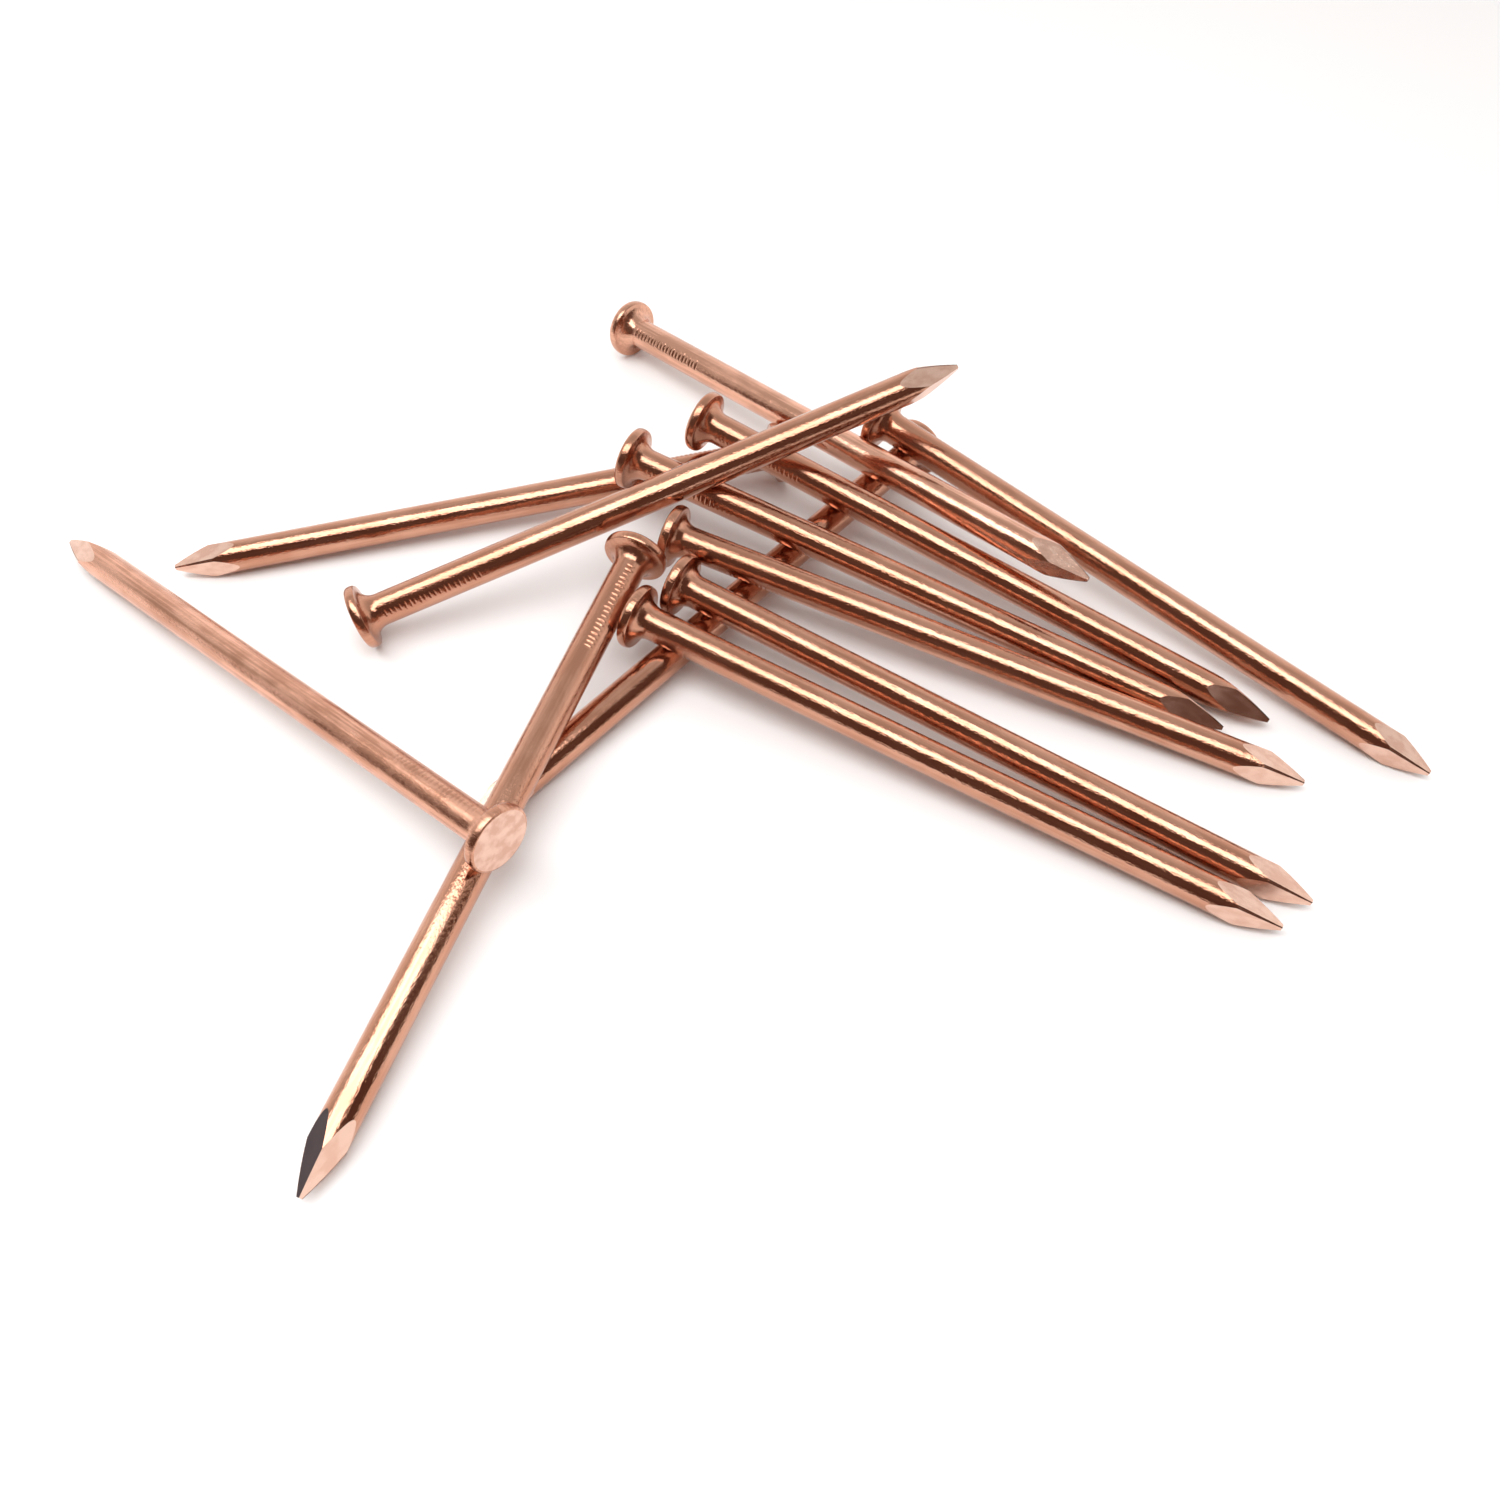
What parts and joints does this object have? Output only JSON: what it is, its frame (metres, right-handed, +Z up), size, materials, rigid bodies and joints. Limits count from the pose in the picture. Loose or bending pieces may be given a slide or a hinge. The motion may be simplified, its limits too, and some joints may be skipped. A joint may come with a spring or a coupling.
{
  "type": "nail",
  "caption": "Loose pile of identical copper-coloured round wire nails with flat heads, gripped shanks and four-sided points.",
  "frame": {"origin": "middle of the pile's footprint, on the surface it lies on", "axes": "+Z up; +X along the longer side of the pile, towards the points of the fanned nails; -Y is the side the pile is looked at from"},
  "size_m": [0.1556, 0.1184, 0.019],
  "materials": {
    "copper_bright": "bright drawn copper, mirror-like along the shank",
    "copper_satin": "satin copper with fine lengthwise drawing lines"
  },
  "bodies": {
    "base_nail": {"base_nail": "copper_bright"},
    "side_nail": {"side_nail": "copper_bright"},
    "fan_nail_1": {"fan_nail_1": "copper_bright"},
    "fan_nail_7": {"fan_nail_7": "copper_bright"},
    "fan_nail_6": {"fan_nail_6": "copper_bright"},
    "fan_nail_5": {"fan_nail_5": "copper_bright"},
    "fan_nail_4": {"fan_nail_4": "copper_bright"},
    "fan_nail_3": {"fan_nail_3": "copper_bright"},
    "fan_nail_2": {"fan_nail_2": "copper_bright"},
    "prop_nail": {"prop_nail": "copper_satin"},
    "corner_nail": {"corner_nail": "copper_satin"},
    "top_nail": {"top_nail": "copper_bright"}
  },
  "joints": [
    {"name": "lift_side_nail", "type": "slide", "parent": "base_nail", "child": "side_nail", "axis": [0, 0, 1], "range_m": [0, 0.03]},
    {"name": "lift_fan_nail_1", "type": "slide", "parent": "side_nail", "child": "fan_nail_1", "axis": [0, 0, 1], "range_m": [0, 0.03]},
    {"name": "lift_fan_nail_5", "type": "slide", "parent": "fan_nail_1", "child": "fan_nail_5", "axis": [0, 0, 1], "range_m": [0, 0.03]},
    {"name": "lift_fan_nail_4", "type": "slide", "parent": "fan_nail_5", "child": "fan_nail_4", "axis": [0, 0, 1], "range_m": [0, 0.03]},
    {"name": "lift_fan_nail_3", "type": "slide", "parent": "fan_nail_4", "child": "fan_nail_3", "axis": [0, 0, 1], "range_m": [0, 0.03]},
    {"name": "lift_fan_nail_2", "type": "slide", "parent": "fan_nail_3", "child": "fan_nail_2", "axis": [0, 0, 1], "range_m": [0, 0.03]},
    {"name": "lift_top_nail", "type": "slide", "parent": "fan_nail_2", "child": "top_nail", "axis": [0, 0, 1], "range_m": [0, 0.03]},
    {"name": "lift_fan_nail_7", "type": "slide", "parent": "base_nail", "child": "fan_nail_7", "axis": [0, 0, 1], "range_m": [0, 0.03]},
    {"name": "lift_prop_nail", "type": "slide", "parent": "fan_nail_7", "child": "prop_nail", "axis": [0, 0, 1], "range_m": [0, 0.03]},
    {"name": "lift_corner_nail", "type": "slide", "parent": "prop_nail", "child": "corner_nail", "axis": [0, 0, 1], "range_m": [0, 0.03]},
    {"name": "lift_fan_nail_6", "type": "slide", "parent": "base_nail", "child": "fan_nail_6", "axis": [0, 0, 1], "range_m": [0, 0.03]}
  ]
}
